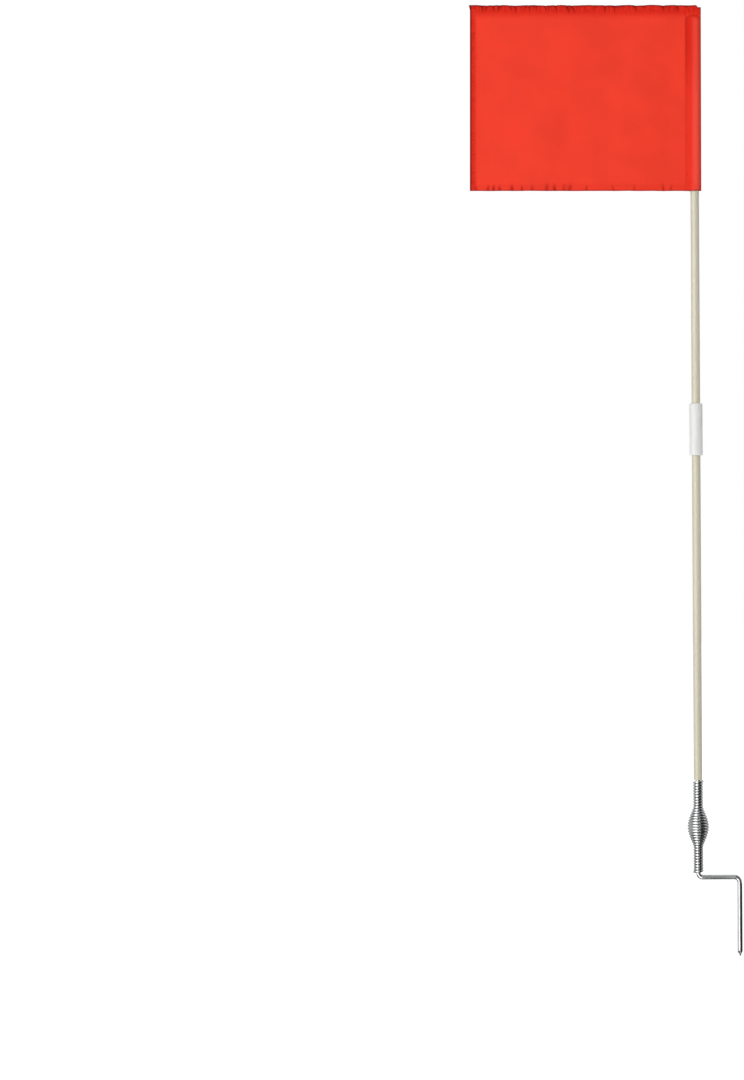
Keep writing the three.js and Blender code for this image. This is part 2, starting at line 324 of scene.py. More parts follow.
class FlagColours(bpy.types.PropertyGroup):
    """Colours of the finishes."""

    cloth: colour_property("Cloth", "Single cloth of the panel", (0.832, 0.0450, 0.0215, 1))
    hem: colour_property("Hem", "Folded cloth of the hems", (0.69, 0.020, 0.008, 1))
    # Painted shade: the crease colour darkens the bottoms of creases, the seam's groove and the
    # gathering streaks of the hems
    crease: colour_property("Crease", "Bottoms of the hems' creases", (0.30, 0.003, 0.001, 1))
    # Painted shade: the edge colour darkens the folded edges, where the cloth turns away from the
    # light
    edge: colour_property("Edge", "Folded edges", (0.12, 0.003, 0.003, 1))
    # Painted light: the sleeve colour brightens the sleeve where the pole shows through the cloth and
    # where its side turns from the lamp
    sleeve: colour_property("Sleeve", "Cloth with the pole behind it", (0.87, 0.071, 0.047, 1))
    thread: colour_property("Thread", "Stitching", (0.60, 0.020, 0.011, 1))
    steel: colour_property("Steel", "Bright zinc on the rod and the spring", (0.45, 0.455, 0.46, 1))
    pole: colour_property("Pole", "Ivory fibreglass", (0.588, 0.558, 0.443, 1))
    connector: colour_property("Connector", "White plastic", (0.77, 0.77, 0.76, 1))
    cap: colour_property("Cap", "Black plastic", (0.022, 0.022, 0.023, 1))


class FlagSettings(bpy.types.PropertyGroup):
    """Everything that a user would change."""

    sizes: bpy.props.PointerProperty(type=FlagSizes)
    colours: bpy.props.PointerProperty(type=FlagColours)


# Finishes


def bright_steel(name, colour):
    """Zinc-plated drawn rod: fine draw lines along it, rubbed patches and a little dulling."""
    finish = Finish(name)
    along = finish.attribute("rod_place", output="Vector")
    lines = finish.noise(finish.scaled(along, (1.0, 1.0, 0.02)), 2600.0, detail=3.0)
    patches = finish.noise(along, 90.0, detail=4.0, roughness=0.6)
    rubbed = finish.ramp(patches, 0.45, 0.7)
    return finish.surface(
        Base_Color=finish.between(rubbed * 0.8, colour, darker(colour, 0.82)),
        Metallic=1.0,
        Roughness=0.10 + rubbed * 0.08 + finish.ramp(lines, 0.3, 0.8) * 0.05,
        Normal=finish.bump(lines, 0.00002, strength=0.5))


def ivory_fibreglass(colour):
    """Drawn fibreglass tube: long glass strands under a satin skin."""
    finish = Finish("ivory_fibreglass")
    place = finish.place()
    strands = finish.noise(finish.scaled(place, (1.0, 1.0, 0.006)), 1100.0)
    clouds = finish.noise(finish.scaled(place, (1.0, 1.0, 0.05)), 90.0)
    deep = (colour[0] * 0.88, colour[1] * 0.87, colour[2] * 0.80, 1.0)
    tone = finish.ramp(strands, 0.3, 0.75) * 0.45 + finish.ramp(clouds, 0.35, 0.7) * 0.3
    return finish.surface(
        Base_Color=finish.between(tone, colour, deep),
        Roughness=0.36 + finish.ramp(strands, 0.35, 0.7) * 0.16,
        Specular_IOR_Level=0.45,
        Coat_Weight=0.12,
        Coat_Roughness=0.25,
        Normal=finish.bump(strands, 0.00006, strength=0.6))


def moulded_plastic(name, colour, roughness, milky=0.0):
    """Moulded plastic: a faint grain and slightly uneven gloss, milky where light soaks in."""
    finish = Finish(name)
    place = finish.place()
    grain = finish.noise(place, 1800.0)
    flow = finish.noise(finish.scaled(place, (1.0, 1.0, 0.2)), 130.0, detail=3.0)
    return finish.surface(
        Base_Color=finish.between(finish.ramp(flow, 0.35, 0.7), colour, darker(colour, 0.93)),
        Roughness=roughness + finish.ramp(flow, 0.3, 0.7) * 0.08,
        Subsurface_Weight=milky,
        Subsurface_Radius=(1.0, 1.0, 1.0),
        Subsurface_Scale=0.004,
        Normal=finish.bump(grain, 0.00003, strength=0.5))


# Tones stored on the cloth: layers is cloth lying double; edge, crease, top_hem and fly_hem place
# painted shade; backed places painted light
TONES = ("layers", "edge", "crease", "backed", "top_hem", "fly_hem")
THREAD_PITCH = 0.00045


def woven_cloth(colours):
    """Light polyester flag cloth: a plain weave, soft clouds, darker where it lies double. It reads
    the tones that the flag's operator stores at each point: painted shade at the bottoms of creases,
    in the gathering of the top and fly hems and along the folded edges, and painted light on the
    sleeve, where the pole shows through and its side turns from the lamp."""
    finish = Finish("woven_red_cloth")
    flat = finish.node("ShaderNodeUVMap", uv_map="UVMap")
    warp, weft = (finish.math("SINE", place * (2 * math.pi / THREAD_PITCH))
                  for place in finish.parts(flat))
    weave = warp * weft
    slubs = finish.noise(finish.scaled(flat, (60.0, 1400.0, 1.0)), 1.0)
    # Painted shade of gathering: noise streaks in the top and fly hems that take the crease colour
    shade_streaks, fly_shade_streaks = (
        finish.noise(finish.scaled(flat, scale), 1.0, detail=3.0, roughness=0.6)
        for scale in ((300.0, 40.0, 1.0), (60.0, 260.0, 1.0)))
    shade_bunches = finish.noise(flat, 70.0, detail=1.0)
    clouds = finish.noise(flat, 16.0, detail=3.0, roughness=0.45)
    # edge, crease, top and fly place painted shade, backed places painted light, and layers is cloth
    # lying double
    layers, edge, crease, backed, top, fly = (finish.attribute(name) for name in TONES)
    # drawn: where the painted shade of gathering falls in the top and fly hems
    drawn = (finish.ramp(shade_streaks * 0.7 + shade_bunches * 0.3, 0.48, 0.59) * top
             + finish.ramp(fly_shade_streaks, 0.52, 0.70) * fly * 0.7) * 0.85
    single = finish.between(
        finish.ramp(clouds, 0.35, 0.65), colours.cloth, darker(colours.cloth, 0.93))
    # Painted light on the sleeve, where the pole shows through and its side turns from the lamp
    lit = finish.between(backed, single, colours.sleeve)
    double = finish.between(layers, lit, colours.hem)
    # Painted shade: the crease colour at the bottoms of creases, along the seam's groove and in the
    # gathering streaks
    crease_shaded = finish.between(finish.math("MAXIMUM", crease, drawn), double, colours.crease)
    # Painted shade along the folded edges
    edge_shaded = finish.between(edge, crease_shaded, colours.edge)
    return finish.surface(
        Base_Color=edge_shaded,
        Roughness=0.74 + finish.ramp(slubs, 0.3, 0.7) * 0.12,
        Specular_IOR_Level=0.06,
        Sheen_Weight=0.01,
        Sheen_Roughness=0.5,
        Normal=finish.bump(weave * 0.5 + slubs * 0.6, 0.00003, strength=0.6))


def sewing_thread(colour):
    """Twisted polyester thread."""
    finish = Finish("sewing_thread")
    twist = finish.ramp(finish.noise(finish.place(), 3000.0), 0.3, 0.7)
    return finish.surface(
        Base_Color=finish.between(twist, colour, darker(colour, 0.8)),
        Roughness=0.55 + twist * 0.15)


# Steel pieces


def keep_rod_places(piece, stations):
    """Stores for each point where it would lie if the rod were straight: across, across and along.

    Stations are (centre, direction, first side) from end to end, in order."""
    centres = np.array([station[0] for station in stations])
    along = np.concatenate([[0.0], np.cumsum(np.linalg.norm(np.diff(centres, axis=0), axis=1))])
    places = []
    for vert in piece.data.vertices:
        nearest = int(np.argmin(np.sum((centres - np.array(vert.co)) ** 2, axis=1)))
        centre, direction, side = stations[nearest]
        offset = vert.co - Vector(centre)
        other = direction.cross(side)
        places.append((offset.dot(side), offset.dot(other), along[nearest] + offset.dot(direction)))
    layer = piece.data.attributes.new("rod_place", "FLOAT_VECTOR", "POINT")
    layer.data.foreach_set("vector", np.array(places, np.float32).ravel())


class CORNERFLAG_OT_ground_peg(bpy.types.Operator):
    """Bends the ground peg from one round rod: pointed stake, crank and riser."""

    bl_idname = "corner_flag.ground_peg"
    bl_label = "Ground Peg"

    sides = 32
    bend_steps = 14
    stake_bend = 0.009
    riser_bend = 0.007
    point_length = 0.008
    point_radius = 0.0006
    edge = 0.0008

    def execute(self, context):
        start_clean()
        foot, crank = PEG_LOW.z, ROD_RADIUS
        shoulder = foot + self.point_length
        bpy.ops.mesh.primitive_circle_add(vertices=self.sides, radius=ROD_RADIUS)
        peg = begin("ground_peg_rod")
        bpy.ops.mesh.select_all(action="SELECT")
        bpy.ops.transform.translate(value=(0, 0, shoulder))

        extrude((0, 0, -self.point_length))
        share = self.point_radius / ROD_RADIUS
        bpy.ops.transform.resize(value=(share, share, 1), center_override=(0, 0, foot))
        bpy.ops.mesh.edge_face_add()

        pick("verts", lambda at, _: at.z > shoulder - self.edge)
        stake_top = crank - self.stake_bend
        self.draw_out((0, 0, stake_top - shoulder))
        self.turn(axis=(0, 1, 0), centre=(-self.stake_bend, 0, stake_top))
        riser_foot = POLE_X + self.riser_bend
        self.draw_out((riser_foot + self.stake_bend, 0, 0))
        self.turn(axis=(0, -1, 0), centre=(riser_foot, 0, crank + self.riser_bend))
        self.draw_out((0, 0, PEG_HIGH.z - crank - self.riser_bend))
        bpy.ops.mesh.edge_face_add()
        bpy.ops.mesh.bevel(offset=self.edge, segments=3, affect="EDGES")
        close_seams()
        end(peg)
        keep_rod_places(peg, self.stations(foot, crank))
        dress(peg, bright_steel("bright_rod", context.scene.corner_flag.colours.steel))
        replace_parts(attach(peg, "ground_peg"), "ground_peg")
        return {"FINISHED"}

    def draw_out(self, move):
        """Extrudes the open end straight, with a ring near each end that keeps the shading of the
        bends out of the straight stretch."""
        near_end = Vector(move).normalized() * self.edge
        for part in (near_end, Vector(move) - 2 * near_end, near_end):
            extrude(part)

    def turn(self, axis, centre):
        """Spins the open end of the rod through a right angle."""
        bpy.ops.mesh.spin(steps=self.bend_steps, angle=math.pi / 2, center=centre, axis=axis)

    def stations(self, foot, crank):
        """The rod's centreline for its finish."""
        up, side = Vector((0, 0, 1)), Vector((0, 1, 0))
        turns = [math.pi / 2 * step / self.bend_steps for step in range(self.bend_steps + 1)]
        bends = [(0, self.stake_bend, turns), (POLE_X, -self.riser_bend, turns[::-1])]
        spots = [(Vector((0, 0, foot)), up), (Vector((0, 0, crank - self.stake_bend)), up)]
        for axis, bend, angles in bends:
            for turn in angles:
                sine, cosine = math.sin(turn), math.cos(turn)
                spot = Vector((axis + bend * (cosine - 1), 0, crank + bend * (sine - 1)))
                spots.append((spot, Vector((-sine, 0, cosine))))
        spots.append((Vector((POLE_X, 0, PEG_HIGH.z)), up))
        return [(spot, heading, side) for spot, heading in self.filled(spots)]

    def filled(self, spots):
        """The spots with more of them along the straight stretches, a rod's radius apart."""
        dense = []
        for (first, heading), (second, _) in zip(spots, spots[1:]):
            count = max(1, round((second - first).length / ROD_RADIUS))
            dense += [(first.lerp(second, step / count), heading) for step in range(count)]
        return dense + [spots[-1]]


class CORNERFLAG_OT_barrel_spring(bpy.types.Operator):
    """Winds the barrel spring from one wire and parts it at the middle of the barrel, where it
    turns from one hinge to the other."""

    bl_idname = "corner_flag.barrel_spring"
    bl_label = "Barrel Spring"

    steps = 32
    wire_resolution = 4
    start_angle = 1.25 * math.pi
    spacing = 0.00005           # between the heights at which the profile is worked out
    play = 0.0001               # between the wire and the rod that it grips

    def execute(self, context):
        start_clean()
        sizes = context.scene.corner_flag.sizes
        wire = sizes.wire / 2
        stations = self.helix(sizes, wire)
        middle_height = SPRING_LOW.z + sizes.lower_tail + sizes.barrel / 2
        heights = [centre.z for centre, _, _ in stations]
        cut = next(index for index, height in enumerate(heights) if height > middle_height)
        finish = bright_steel("bright_wire", context.scene.corner_flag.colours.steel)
        middle = stations[cut][0].z
        parts = [
            ("spring_wire_lower", stations[:cut + 1], ("ground_peg", "spring"), PEG_HIGH.z, middle),
            ("spring_wire_upper", stations[cut:], ("spring", "lower_pole"), middle, STUB_LOW.z),
        ]
        for name, part, bodies, low, high in parts:
            piece = self.wound(name, part, wire)
            keep_rod_places(piece, part)
            dress(piece, finish)
            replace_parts(piece, "ground_spring")
            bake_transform(piece)
        return {"FINISHED"}

    def helix(self, sizes, wire):
        """(centre, direction, outward) along the wire, with equal steps of angle, and the curls an
        equal pitch apart along the profile. Each cut end runs straight for one wire diameter."""
        tail = ROD_RADIUS + wire + self.play
        barrel = SPRING_HIGH.y - wire
        low, high = SPRING_LOW.z + wire, SPRING_HIGH.z - wire
        heights = np.arange(low, high, self.spacing)
        share = np.clip((heights - SPRING_LOW.z - sizes.lower_tail) / sizes.barrel, 0, 1)
        radii = tail + (barrel - tail) * np.sin(math.pi * share) ** sizes.fullness
        lengths = np.concatenate([[0], np.cumsum(np.hypot(np.diff(heights), np.diff(radii)))])
        count = round(self.steps * lengths[-1] / sizes.pitch)
        marks = np.linspace(0, lengths[-1], count + 1)
        stations = []
        for step, mark in enumerate(marks):
            angle = self.start_angle + 2 * math.pi * step / self.steps
            outward = Vector((math.cos(angle), math.sin(angle), 0))
            forward = Vector((-math.sin(angle), math.cos(angle), 0))
            radius, height = (float(np.interp(mark, lengths, rows)) for rows in (radii, heights))
            centre = Vector((POLE_X, 0, height)) + outward * radius
            stations.append((centre, forward, outward))
        first, last = stations[0], stations[-1]
        run = 2 * wire
        return [(first[0] - first[1] * run, *first[1:]), *stations,
                (last[0] + last[1] * run, *last[1:])]

    def wound(self, name, stations, wire):
        """A closed tube along the stations, made from a bevelled curve."""
        curve = bpy.data.curves.new(name, "CURVE")
        curve.dimensions = "3D"
        curve.bevel_depth = wire
        curve.bevel_resolution = self.wire_resolution
        curve.use_fill_caps = True
        spline = curve.splines.new("POLY")
        spline.points.add(len(stations) - 1)
        for point, (centre, _, _) in zip(spline.points, stations):
            point.co = (*centre, 1.0)
        select_only(add_object(name, curve))
        bpy.ops.object.convert(target="MESH")
        piece = bpy.context.object
        bpy.ops.object.mode_set(mode="EDIT")
        close_seams()
        return end(piece)


class CORNERFLAG_OT_spring_stub(bpy.types.Operator):
    """Cuts the steel stub that joins the spring to the pole."""

    bl_idname = "corner_flag.spring_stub"
    bl_label = "Spring Stub"

    sides = 32
    edge = 0.0008

    def execute(self, context):
        start_clean()
        height = STUB_HIGH.z - STUB_LOW.z
        bpy.ops.mesh.primitive_cylinder_add(
            vertices=self.sides, radius=ROD_RADIUS, depth=height,
            location=(POLE_X, 0, STUB_LOW.z + height / 2))
        stub = begin("spring_stub_pin")
        pick("faces", lambda _, face: abs(face.normal.z) > FACING)
        bpy.ops.mesh.bevel(offset=self.edge, segments=3, affect="EDGES")
        close_seams()
        end(stub)
        keep_rod_places(stub, [
            (Vector((POLE_X, 0, STUB_LOW.z + share * height)), Vector((0, 0, 1)), Vector((0, 1, 0)))
            for share in (0, 0.5, 1)])
        steel = context.scene.corner_flag.colours.steel
        rod_finish = bpy.data.materials.get("bright_rod") or bright_steel("bright_rod", steel)
        dress(stub, rod_finish)
        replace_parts(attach(stub, "lower_pole"), "spring_stub")
        return {"FINISHED"}


# Pole pieces


def tube(name, low, high, radius, bore, sides=64, edge=0.0005, edge_steps=3):
    """A tube on the pole's axis: a cylinder whose ends are inset and bridged into a bore, with
    rounded outer rims. A ring near each rim keeps the rim's shading out of the long wall. The tube
    is left open in edit mode."""
    start_clean()
    bpy.ops.mesh.primitive_cylinder_add(
        vertices=sides, radius=radius, depth=high - low, location=(POLE_X, 0, (low + high) / 2))
    piece = begin(name)
    pick("faces", lambda _, face: abs(face.normal.z) > FACING)
    bpy.ops.mesh.inset(thickness=radius - bore)
    bpy.ops.mesh.bridge_edge_loops()
    just_inside = 0.99
    rim = radius * math.cos(math.pi / sides) * just_inside
    half = (high - low) / 2
    pick("edges", lambda at, _: math.hypot(at.x, at.y) > rim and abs(abs(at.z) - half) < LEVEL)
    bpy.ops.mesh.bevel(offset=edge, segments=edge_steps, affect="EDGES")
    ring = 1.4 * edge
    for height in (low + ring, high - ring):
        pick("faces", lambda at, _: math.hypot(at.x, at.y) > rim and abs(at.z) < half - edge)
        bpy.ops.mesh.bisect(plane_co=(POLE_X, 0, height), plane_no=(0, 0, 1))
    return piece


class CORNERFLAG_OT_pole_sections(bpy.types.Operator):
    """Draws the two fibreglass sections of the pole."""

    bl_idname = "corner_flag.pole_sections"
    bl_label = "Pole Sections"

    wall = 0.0027

    def execute(self, context):
        finish = ivory_fibreglass(context.scene.corner_flag.colours.pole)
        sections = [
            ("lower_pole_tube", "lower_pole", LOWER_LOW.z, LOWER_HIGH.z),
            ("upper_pole_tube", "upper_pole", UPPER_LOW.z, UPPER_HIGH.z),
        ]
        for name, node, low, high in sections:
            section = tube(name, low, high, POLE_RADIUS, POLE_RADIUS - self.wall)
            end(section)
            dress(section, finish)
            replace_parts(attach(section, node), node)
        return {"FINISHED"}


class CORNERFLAG_OT_pole_connector(bpy.types.Operator):
    """Moulds the white connector sleeve with its rounded ends and the stop inside."""

    bl_idname = "corner_flag.pole_connector"
    bl_label = "Pole Connector"

    play = 0.0003
    edge = 0.0016
    stop_height = 0.003
    stop_radius = 0.0055

    def execute(self, context):
        radius = (JOINT_HIGH.x - JOINT_LOW.x) / 2
        bore = POLE_RADIUS + self.play
        middle = (JOINT_LOW.z + JOINT_HIGH.z) / 2
        half_stop = self.stop_height / 2
        sleeve = tube("pole_connector_sleeve", JOINT_LOW.z, JOINT_HIGH.z, radius, bore,
                      edge=self.edge, edge_steps=6)
        for height in (-half_stop, half_stop):
            pick("faces", lambda at, _: math.hypot(at.x, at.y) < bore)
            bpy.ops.mesh.bisect(plane_co=(POLE_X, 0, middle + height), plane_no=(0, 0, 1))
        pick("faces", lambda at, _: math.hypot(at.x, at.y) < bore and abs(at.z) < half_stop)
        bpy.ops.mesh.extrude_region_shrink_fatten(
            TRANSFORM_OT_shrink_fatten={"value": bore - self.stop_radius})
        end(sleeve)
        colour = context.scene.corner_flag.colours.connector
        finish = moulded_plastic("white_moulding", colour, roughness=0.42, milky=0.8)
        dress(sleeve, finish)
        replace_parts(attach(sleeve, "lower_pole"), "pole_connector")
        return {"FINISHED"}


class CORNERFLAG_OT_pole_cap(bpy.types.Operator):
    """Moulds the plug in the top of the pole: a spigot under a rounded head."""

    bl_idname = "corner_flag.pole_cap"
    bl_label = "Pole Cap"

    sides = 48
    head = 0.003
    head_edge = 0.002
    spigot_radius = 0.004
    spigot_edge = 0.0005

    def execute(self, context):
        start_clean()
        base = CAP_HIGH.z - self.head
        bpy.ops.mesh.primitive_cylinder_add(
            vertices=self.sides, radius=POLE_RADIUS, depth=self.head,
            location=(POLE_X, 0, base + self.head / 2))
        cap = begin("pole_cap_plug")
        pick("faces", lambda _, face: face.normal.z < -FACING)
        bpy.ops.mesh.inset(thickness=POLE_RADIUS - self.spigot_radius)
        extrude((0, 0, CAP_LOW.z - base))
        bpy.ops.mesh.bevel(offset=self.spigot_edge, segments=2, affect="EDGES")
        pick("faces", lambda _, face: face.normal.z > FACING)
        bpy.ops.mesh.bevel(offset=self.head_edge, segments=8, affect="EDGES")
        close_seams()
        end(cap)
        colour = context.scene.corner_flag.colours.cap
        dress(cap, moulded_plastic("black_moulding", colour, roughness=0.5))
        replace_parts(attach(cap, "pole_cap"), "pole_cap")
        return {"FINISHED"}


# Flag pieces


class CORNERFLAG_OT_flag_cloth(bpy.types.Operator):
    """Cuts the flag flat, folds its hems, wraps its sleeve round the pole and stitches it."""

    bl_idname = "corner_flag.flag_cloth"
    bl_label = "Flag Cloth"

    # Folds. Places on the sleeve are distances from the pole's axis.
    gap = 0.0007                # between the middles of layers that lie on each other
    fold = 0.0011               # cloth that goes round a folded edge
    hem_layers = 3
    hem_run = 0.004             # over which a hem's layers come apart
    seam_at = 0.0120
    sleeve_fold = 0.0112
    sleeve_radius = 0.00748
    sleeve_slack = 0.0052       # cloth in half of the sleeve beyond its flat width
    sleeve_step = 0.003         # over which the sleeve widens round its foot hem
    slack_depth = 0.0014        # of the bulge beside the pole that the slack makes
    slack_at = 0.0068
    slack_width = 0.0026
    flap = 0.004                # behind the sleeve's seam
    cap_shoulder = 0.0013
    closing = 0.0036
    fly_inset = 0.0008
    ear = 0.0017                # by which the top corner of the fly edge sticks out
    ear_height = 0.009
    corner_drop = 0.0038        # of the top edge over the sleeve's fold
    drop_start = 0.0030
    drop_run = 0.0040
    upright = math.radians(0.322)
    pole_hold = 0.02            # over which the sleeve holds the cloth back from hanging straight
    probe = 0.00015             # half of the stretch that the cloth's direction is taken over

    # Creases: ranges of depth, of reach from the edge and of width, and the largest lean
    top_crease = ((0.0003, 0.0010), (0.006, 0.015), (0.0007, 0.0014), 0.3)
    top_pleat = ((0.0013, 0.0021), (0.009, 0.014), (0.0008, 0.0014), 0.35)
    foot_pleat = ((0.0006, 0.0011), (0.010, 0.014), (0.0017, 0.0028), 0.2)
    narrow_foot_pleat = ((0.0006, 0.0011), (0.010, 0.014), (0.00102, 0.00168), 0.2)
    fly_crease = ((0.0003, 0.0009), (0.007, 0.015), (0.0012, 0.0026), 0.3)
    close_gaps = (0.0045, 0.011)
    wide_gaps = (0.009, 0.024)
    fly_gaps = (0.005, 0.015)
    sharp_share = 0.65          # of a crease's depth that is sharp, and the rest is soft
    soft_width = 3.2            # times the crease's own
    soft_reach = 2.1
    # Painted shade at the bottoms of creases: its width, how far it stays darkest, and the depth that
    # gets all of it
    crease_shaded_width = 1.1
    crease_shaded_hold = 0.2          # share of the reach up to which a crease's bottom is at its darkest
    full_depth = 0.0013         # of a crease whose bottom is fully dark

    # Bulges of the panel, the groove of the seam and the wander of the edges
    freed = 0.036               # from the seam to where the panel moves freely
    broad_depth = 0.0013
    broad_width = 0.148
    broad_lean = 0.060
    wave_depth = 0.00022
    crease_free = 0.006         # from the seam to where creases are at their full depth
    groove_depth = 0.0010
    groove_at = 0.0004          # outside the seam
    groove_width = 0.0016
    groove_low_share = 0.45     # of its depth that is left in the lower half
    groove_from = 0.14          # height over the foot above which it deepens
    groove_run = 0.10
    near_top = 0.030            # cloth below the top edge that wanders with it
    near_foot = 0.020
    top_lift = 0.0004
    top_wander = 0.00022
    foot_wander = 0.00007
    crease_pull = 0.35          # share of a crease's depth by which it draws the top edge down

    # Tones for the finish. A pair holds where a tone begins to change and over what run, or what
    # it is in the lower half and in the upper one.
    # The edge, crease, seam groove and gathering tones are painted shade, and the sleeve light tones
    # are painted light
    upper = (0.13, 0.12)                # from the foot
    top_double = (-0.008, 0.014)        # from the line where the top hem ends
    top_gather_shade = (0.002, 0.013)
    foot_double = (-0.0005, 0.001)      # from the line where the foot hem ends
    fly_double = (-0.005, 0.006)        # from the line where the fly hem ends
    seam_double = (-0.0035, 0.003)      # from the seam
    sleeve_double = (-0.008, 0.011)     # from the pole's axis
    sleeve_corner = (-0.016, 0.006)     # from the top
    # Painted light on the sleeve, where the pole shows through the cloth and its side turns from the
    # lamp
    sleeve_light_end = (-0.004, 0.004)        # from the top of the cap
    sleeve_light_at = 0.0028
    sleeve_light_width = 0.0066
    # Painted shade in a line along the seam's groove
    seam_groove_shade_at = 0.0010
    seam_groove_shade_width = 0.0014
    # Widths of the painted shade along the folded edges
    top_edge = 0.0017
    fly_edge = 0.0026
    sleeve_edge = 0.0011
    foot_edge = 0.0013
    foot_tone = 0.25
    edge_shade_tone = 0.9
    foot_edge_shade_tone = 0.7
    fly_crease_tone = 0.75
    seam_crease_tone = 0.12
    seam_tones = (0.55, 1.0)
    seam_groove_shade_tones = (0.06, 0.32)
    sleeve_light_tones = (1.0, 0.5)

    # Stitching
    thread_width = 0.00042
    thread_lift_share = 0.12
    stitch_step = 1.22          # from stitch to stitch, in stitch lengths
    stitch_shares = (0.1, 0.92)
    line_inset = 0.0014         # of a line of stitches from the edge of its hem
    line_start = 0.002
    line_stop = 0.001
    stitch_probe = 0.0003

    # Pleats, as distances from the fly edge
    top_pleats = (0.019, 0.0275, 0.038, 0.049, 0.0655, 0.074, 0.097, 0.124, 0.141, 0.160, 0.168,
                  0.2225, 0.238, 0.2725, 0.317, 0.342)
    foot_pleats = (0.010, 0.029, 0.0385, 0.049, 0.069, 0.0855, 0.103, 0.126, 0.139, 0.154, 0.1635,
                   0.1915, 0.236, 0.2695, 0.318, 0.330)

    def execute(self, context):
        start_clean()
        settings = context.scene.corner_flag
        sizes = settings.sizes
        self.sizes = sizes
        self.height = FLAG_HIGH.z - FLAG_LOW.z
        self.top_line = self.height - sizes.top_hem
        self.cap_top = CAP_HIGH.z - FLAG_LOW.z
        self.fly = FLAG_LOW.x - POLE_X + self.fly_inset
        self.panel = -self.fly - self.seam_at
        self.half_sleeve = self.seam_at + self.sleeve_fold + self.sleeve_slack
        self.draw_creases()

        columns, rows = self.columns(), self.rows()
        bpy.ops.mesh.primitive_grid_add(
            x_subdivisions=len(columns) - 1, y_subdivisions=len(rows) - 1, size=1, calc_uvs=True)
        cloth = bpy.context.object
        cloth.name = cloth.data.name = "flag_cloth_sheet"
        flat = np.empty(3 * len(cloth.data.vertices))
        cloth.data.vertices.foreach_get("co", flat)
        flat = flat.reshape(-1, 3)
        column = np.rint((flat[:, 0] + 0.5) * (len(columns) - 1)).astype(int)
        row = np.rint((flat[:, 1] + 0.5) * (len(rows) - 1)).astype(int)
        across, up = columns[column], rows[row]
        cloth.data.vertices.foreach_set("co", self.placed(across, up).ravel())
        self.keep_flat_places(cloth, across, up)
        self.keep_tones(cloth, across, up)
        cloth.data.update()

        wall = cloth.modifiers.new("cloth_thickness", "SOLIDIFY")
        wall.thickness = sizes.cloth
        wall.offset = 0
        bpy.ops.object.modifier_apply(modifier=wall.name)
        bpy.ops.object.shade_smooth()

        dress(cloth, woven_cloth(settings.colours))
        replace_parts(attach(cloth, "flag"), "flag_cloth")
        thread = self.stitching()
        dress(thread, sewing_thread(settings.colours.thread))
        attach(thread, "flag")
        return {"FINISHED"}

    # Flat cut: distance from the fly edge, and height over the foot

    def columns(self):
        """The columns of the grid, closest at the folds and in the half with the creases."""
        turn = self.panel + self.half_sleeve
        back = turn + self.fold
        return self.divided([
            (-self.fold - self.sizes.fly_hem, 7), (-self.fold, 4), (0, 169), (self.panel / 2, 124),
            (self.panel, 22), (turn, 4), (back, 22), (back + self.half_sleeve, 3),
        ], back + self.half_sleeve + self.flap)

    def rows(self):
        """The rows of the grid, closest at the hems and over the cap."""
        foot_line, foot_creased = self.sizes.foot_hem, 0.020
        top_creased, cap_below, cap_above = 0.034, 0.0035, 0.0008
        return self.divided([
            (-self.fold - foot_line, 6), (-self.fold, 4), (0, 8), (foot_line, 8),
            (foot_line + foot_creased, 38), (self.top_line - top_creased, 16),
            (self.cap_top - cap_below, 14), (self.cap_top + self.closing + cap_above, 13),
            (self.height, 4), (self.height + self.fold, 9),
        ], self.height + self.fold + self.sizes.top_hem)

    def divided(self, marks, last):
        """Places from the first mark to the last, with each mark's number of steps to the next."""
        ends = [place for place, _ in marks[1:]] + [last]
        parts = [np.linspace(low, high, steps, endpoint=False)
                 for (low, steps), high in zip(marks, ends)]
        return np.concatenate([*parts, [last]])

    # Folding

    def placed(self, across, up):
        """Where points of the flat cut lie on the finished flag."""
        height, inset = self.hem_turn(up)
        x, y = self.section(across, height)
        before, after = (self.section(across + off, height) for off in (-self.probe, self.probe))
        ahead, aside = after[0] - before[0], after[1] - before[1]
        length = np.hypot(ahead, aside)
        x = x - aside / length * inset
        y = y + ahead / length * inset - self.depth(height) / 2
        y = y + self.stand_off(x, height)
        height = height + self.edge_line(x, height)
        lean = self.height / 2 - height
        turned_x = x * math.cos(self.upright) - lean * math.sin(self.upright) * self.off_pole(x)
        turned_z = height - (x - self.fly / 2) * math.sin(self.upright)
        return np.stack([POLE_X + turned_x, y, FLAG_LOW.z + turned_z], axis=1)

    def off_pole(self, x):
        """The share of the turn that the cloth makes: a half on the sleeve and 1 in the panel."""
        return 0.5 + 0.5 * rise(-x, self.seam_at, self.pole_hold)

    def hem_turn(self, up):
        """Height over the foot, and distance behind the front layer, round the hems' folds."""
        radius = self.gap / 2
        top = np.clip((up - self.height) / self.fold, 0, 1) * math.pi
        foot = np.clip(-up / self.fold, 0, 1) * math.pi
        past_top = np.maximum(up - self.height - self.fold, 0)
        past_foot = np.maximum(-up - self.fold, 0)
        height = (np.clip(up, radius, self.height - radius) + radius * (np.sin(top) - np.sin(foot))
                  - past_top + past_foot)
        return height, radius * (2 - np.cos(top) - np.cos(foot))

    def in_hem(self, height):
        """1 where the top or bottom hem makes two layers, with soft ends."""
        top = rise(height, self.top_line - self.hem_run, self.hem_run)
        foot = fall(height, self.sizes.foot_hem, self.hem_run)
        return np.maximum(top, foot)

    def depth(self, height):
        """From the front sheet to a sheet turned behind it: three layers in the hems, else one."""
        return self.gap * (1 + (self.hem_layers - 1) * self.in_hem(height))

    def section(self, across, height):
        """The middle of the cloth at a height: x from the pole's axis and y."""
        depth = self.depth(height)
        radius = depth / 2
        fly = self.fly - self.ear * rise(height, self.height - self.ear_height, self.ear_height)
        share = np.clip(across / self.panel, 0, 1)
        panel_x, panel_y = (fly + radius) * (1 - share) - self.seam_at * share, np.zeros_like(share)

